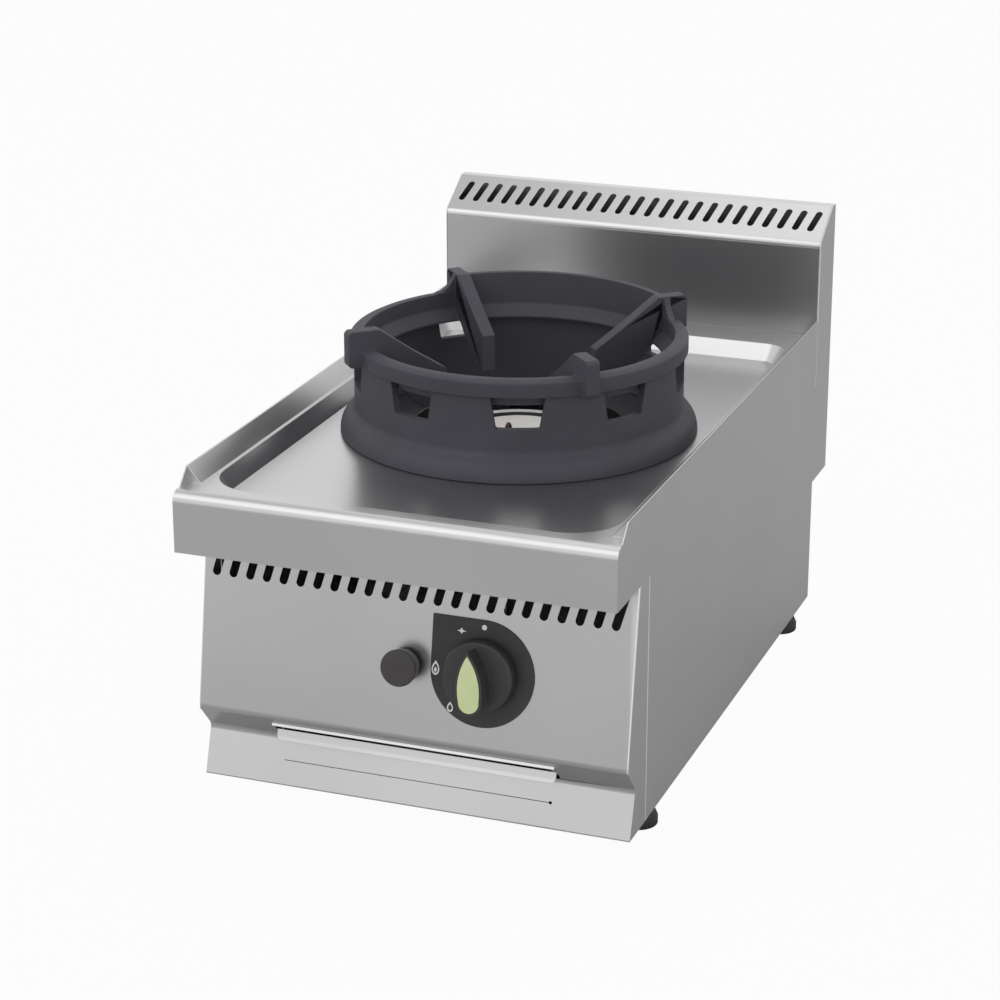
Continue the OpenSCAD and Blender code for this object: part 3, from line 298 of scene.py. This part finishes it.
for side in ("left", "right"):
    softLooks.append({"node": "flue_side_" + side, "body": "casing", "finish": sideSheet,
                      "slot": "stainless_sheet", "edge": 0.0003, "corner": cheekCorner})
    softLooks.append({"node": "side_panel_" + side, "body": "casing", "finish": sideSheet,
                      "slot": "stainless_sheet", "edge": 0.0004, "corner": sideCorner})
for place in footPlaces:
    softLooks.append({"node": "pad_" + place, "body": "foot_" + place, "finish": footBlack,
                      "slot": "foot_plastic", "edge": 0.0006})
softPieces = {look["node"]: softPiece(look) for look in softLooks}
print("softened pieces made:", len(softPieces))


# faces of a softened piece with a second finish, or with a painted shade

# machined face on the rim of the burner head
machinedRim = {"top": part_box("burner_head")[1][2], "depth": 0.0012}

# painted shade on the inner bend between the worktop's ledge and the splashback, a dark steel colour
# standing in for its shade
ledgeRise = 0.055
paintedShadeBend = {"y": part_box("flue_cover")[0][1], "z": seamHeight + ledgeRise, "reach": 0.0009}


def onRim(place):
    return place.z > machinedRim["top"] - machinedRim["depth"]


def inPaintedShadeBend(place):
    across = paintedShadeBend["y"] - place.y
    up = place.z - paintedShadeBend["z"]
    return 0 < across < paintedShadeBend["reach"] and 0 < up < paintedShadeBend["reach"]


def finishOrPaintedShade(piece, finish, chosen):
    piece.data.materials.append(finish)
    for face in piece.data.polygons:
        if chosen(face.center):
            face.material_index = 1


finishOrPaintedShade(softPieces["burner_head"], rimSteel, onRim)
# painted shade on the worktop's faces in the inner bend
finishOrPaintedShade(softPieces["worktop"], paintedBendShade, inPaintedShadeBend)
print("rim and inner bend finished")


# printed marks of the dial, drawn on a level plane and then stood on the leaning panel

markLook = {
    "axis": (0.065, -0.30305, 0.160278), "lean": math.radians(9.46), "top": 0.0015, "thick": 0.00012,
    "dot": {"at": (0.0, 0.041), "radius": 0.0023, "sides": 32},
    "spark": {"at": (-0.0205, 0.0355), "wide": 0.0042, "tall": 0.0028, "waist": 0.42, "sides": 8},
    "flame": {"sides": 28, "taper": 3, "belly": 0.8, "innerDrop": 0.06, "coreDrop": 0.22},
    "large": {"at": (-0.0425, 0.0), "wide": 0.0038, "tall": 0.0066, "inside": 0.66, "core": 0.36},
    "small": {"at": (-0.0273, -0.0326), "wide": 0.0030, "tall": 0.0046, "inside": 0.6, "core": 0.0},
}


def flameLoop(bm, look, size, drop, filled):
    flame = markLook["flame"]
    wide, tall = look["wide"] * size, look["tall"] * size
    loop = bmesh.ops.create_circle(bm, cap_ends=filled, segments=flame["sides"], radius=1.0)["verts"]
    for vert in loop:
        height = min((vert.co.y + 1) / 2, 1.0)
        vert.co.x *= wide * max(1 - height ** flame["taper"], 0.0) ** flame["belly"]
        vert.co.y *= tall
    x, y = look["at"]
    bmesh.ops.translate(bm, verts=loop, vec=(x, y - drop * look["tall"], 0))
    return loop


def flameMark(bm, look):
    flame = markLook["flame"]
    outer = flameLoop(bm, look, 1.0, 0.0, False)
    inner = flameLoop(bm, look, look["inside"], flame["innerDrop"], False)
    bmesh.ops.bridge_loops(bm, edges=list({edge for vert in outer + inner for edge in vert.link_edges}))
    if look["core"]:
        flameLoop(bm, look, look["core"], flame["coreDrop"], True)


def dotMark(bm, look):
    dot = bmesh.ops.create_circle(bm, cap_ends=True, segments=look["sides"], radius=look["radius"])["verts"]
    bmesh.ops.translate(bm, verts=dot, vec=(*look["at"], 0))


def sparkMark(bm, look):
    star = bmesh.ops.create_circle(bm, cap_ends=True, segments=look["sides"], radius=1.0)["verts"]
    for vert in star[1::2]:
        vert.co *= look["waist"]
    for vert in star:
        vert.co.x *= look["wide"]
        vert.co.y *= look["tall"]
    bmesh.ops.translate(bm, verts=star, vec=(*look["at"], 0))


def dialMarks():
    bm = bmesh.new()
    dotMark(bm, markLook["dot"])
    sparkMark(bm, markLook["spark"])
    flameMark(bm, markLook["large"])
    flameMark(bm, markLook["small"])
    raised = bmesh.ops.extrude_face_region(bm, geom=bm.faces[:])["geom"]
    lifted = [part for part in raised if isinstance(part, bmesh.types.BMVert)]
    bmesh.ops.translate(bm, verts=lifted, vec=(0, 0, markLook["thick"]))
    bmesh.ops.recalc_face_normals(bm, faces=bm.faces)
    stand = Matrix.Translation(markLook["axis"]) @ Matrix.Rotation(math.pi / 2 - markLook["lean"], 4, "X")
    bmesh.ops.transform(bm, matrix=stand @ Matrix.Translation((0, 0, markLook["top"])), verts=bm.verts)
    marks = pieceFrom(bm, "dial_marks", markWhite)
    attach(marks, "casing")


dialMarks()
print("dial marks made")


# stage, light and camera

# the floor is seen white; mirrored is its painted glow seen only in reflections, at the back and at the
# front, between the two y of the span, with a pale round glowing patch right of the front corner, painted in
# place of a card
stageLook = {"floorSize": 16.0, "floorTone": grey(0.43), "floorRough": 0.9, "whiteSeen": 0.96,
             "mirrored": (0.07, 0.25), "span": (-0.8, -0.2),
             "paintedGlowPatch": {"at": (0.62, -0.5, 0), "radius": (0.18, 0.42), "white": 0.55}}


def seenWhite(tree, seen, mirrored):
    path = tree.nodes.new("ShaderNodeLightPath")
    total = None
    shares = {"Is Camera Ray": seen, "Is Glossy Ray": mirrored, "Is Transmission Ray": mirrored}
    for ray, share in shares.items():
        part = tree.nodes.new("ShaderNodeMath")
        part.operation = "MULTIPLY"
        if isinstance(share, float):
            part.inputs[1].default_value = share
        else:
            tree.links.new(share, part.inputs[1])
        tree.links.new(path.outputs[ray], part.inputs[0])
        if total:
            larger = tree.nodes.new("ShaderNodeMath")
            larger.operation = "MAXIMUM"
            tree.links.new(total, larger.inputs[0])
            tree.links.new(part.outputs["Value"], larger.inputs[1])
            total = larger.outputs["Value"]
        else:
            total = part.outputs["Value"]
    return total


def mirroredShare(tree):
    coords = tree.nodes.new("ShaderNodeTexCoord")
    split = tree.nodes.new("ShaderNodeSeparateXYZ")
    tree.links.new(coords.outputs["Object"], split.inputs["Vector"])
    back, front = stageLook["mirrored"]
    # painted glow seen in reflections, brighter towards the front
    even = spread(tree, split.outputs["Y"], front, back, stageLook["span"])
    # painted glow: a pale round patch on the floor seen only in reflections, standing in for a white card
    paintedGlowPatch = stageLook["paintedGlowPatch"]
    away = tree.nodes.new("ShaderNodeVectorMath")
    away.operation = "DISTANCE"
    away.inputs[1].default_value = paintedGlowPatch["at"]
    tree.links.new(coords.outputs["Object"], away.inputs[0])
    pale = spread(tree, away.outputs["Value"], paintedGlowPatch["white"], 0.0, paintedGlowPatch["radius"])
    adder = tree.nodes.new("ShaderNodeMath")
    adder.operation = "ADD"
    tree.links.new(even, adder.inputs[0])
    tree.links.new(pale, adder.inputs[1])
    return adder.outputs["Value"]


def makeFloor():
    material, tree, shader = startMaterial("floor_pale")
    shader.inputs["Base Color"].default_value = (*stageLook["floorTone"], 1)
    shader.inputs["Roughness"].default_value = stageLook["floorRough"]
    shader.inputs["Specular IOR Level"].default_value = 0.0
    glow = tree.nodes.new("ShaderNodeEmission")
    glow.inputs["Color"].default_value = (1, 1, 1, 1)
    mix = tree.nodes.new("ShaderNodeMixShader")
    tree.links.new(seenWhite(tree, stageLook["whiteSeen"], mirroredShare(tree)), mix.inputs["Fac"])
    tree.links.new(shader.outputs["BSDF"], mix.inputs[1])
    tree.links.new(glow.outputs["Emission"], mix.inputs[2])
    tree.links.new(mix.outputs["Shader"], tree.nodes["Material Output"].inputs["Surface"])
    bm = bmesh.new()
    bmesh.ops.create_grid(bm, x_segments=1, y_segments=1, size=stageLook["floorSize"] / 2)
    pieceFrom(bm, "floor", material)


# light of the room by height over the horizon, as the sine of the angle, with its largest strength
roomLook = {"steps": ((-0.1, 1.0), (0.0, 1.0), (0.2, 1.06), (0.36, 1.0), (0.66, 0.95), (0.9, 0.66),
                      (1.0, 0.58)),
            "whiteSeen": 1.0, "whiteMirrored": 0.1, "most": 1.5}


def makeWorld():
    world = bpy.data.worlds.new("studio")
    world.use_nodes = True
    scene.world = world
    tree = world.node_tree
    coords = tree.nodes.new("ShaderNodeTexCoord")
    split = tree.nodes.new("ShaderNodeSeparateXYZ")
    tree.links.new(coords.outputs["Generated"], split.inputs["Vector"])
    low, high = roomLook["steps"][0][0], roomLook["steps"][-1][0]
    ramp = tree.nodes.new("ShaderNodeValToRGB")
    tree.links.new(spread(tree, split.outputs["Z"], 0, 1, (low, high)), ramp.inputs["Fac"])
    stops = ramp.color_ramp.elements
    for height, level in roomLook["steps"]:
        if height == low:
            stop = stops[0]
        elif height == high:
            stop = stops[-1]
        else:
            stop = stops.new((height - low) / (high - low))
        stop.color = (*grey(level / roomLook["most"]), 1)
    ambient = tree.nodes["Background"]
    tree.links.new(ramp.outputs["Color"], ambient.inputs["Color"])
    ambient.inputs["Strength"].default_value = roomLook["most"]
    white = tree.nodes.new("ShaderNodeBackground")
    white.inputs["Color"].default_value = (1, 1, 1, 1)
    mix = tree.nodes.new("ShaderNodeMixShader")
    tree.links.new(seenWhite(tree, roomLook["whiteSeen"], roomLook["whiteMirrored"]), mix.inputs["Fac"])
    tree.links.new(ambient.outputs["Background"], mix.inputs[1])
    tree.links.new(white.outputs["Background"], mix.inputs[2])
    tree.links.new(mix.outputs["Shader"], tree.nodes["World Output"].inputs["Surface"])


softBoxes = [
    {"name": "frontBox", "place": (-1.05, -1.65, 2.62), "aim": (0, -0.05, 0.3), "size": 2.1, "power": 10.5},
    {"name": "topBox", "place": (0.2, 0.5, 2.8), "aim": (0.2, 0.5, 0.3), "size": 1.9, "power": 7.4},
]


def makeLights():
    for box in softBoxes:
        lamp = bpy.data.lights.new(box["name"], "AREA")
        lamp.size = box["size"]
        lamp.energy = box["power"]
        holder = bpy.data.objects.new(box["name"], lamp)
        holder.location = box["place"]
        toward = Vector(box["aim"]) - Vector(box["place"])
        holder.rotation_euler = toward.to_track_quat("-Z", "Y").to_euler()
        scene.collection.objects.link(holder)


viewLook = {"place": (0.85828, -2.40111, 1.13211), "back": (0.3266, -0.8815, 0.3411), "lens": 102.874,
            "sensor": 36.0}


def makeCamera():
    lens = bpy.data.cameras.new("photoView")
    lens.lens = viewLook["lens"]
    lens.sensor_width = viewLook["sensor"]
    camera = bpy.data.objects.new("photoView", lens)
    camera.location = viewLook["place"]
    camera.rotation_euler = (-Vector(viewLook["back"])).to_track_quat("-Z", "Y").to_euler()
    scene.collection.objects.link(camera)
    scene.camera = camera


makeFloor()
makeWorld()
makeLights()
makeCamera()
scene.view_settings.view_transform = "Standard"
print("stage, light and camera set")
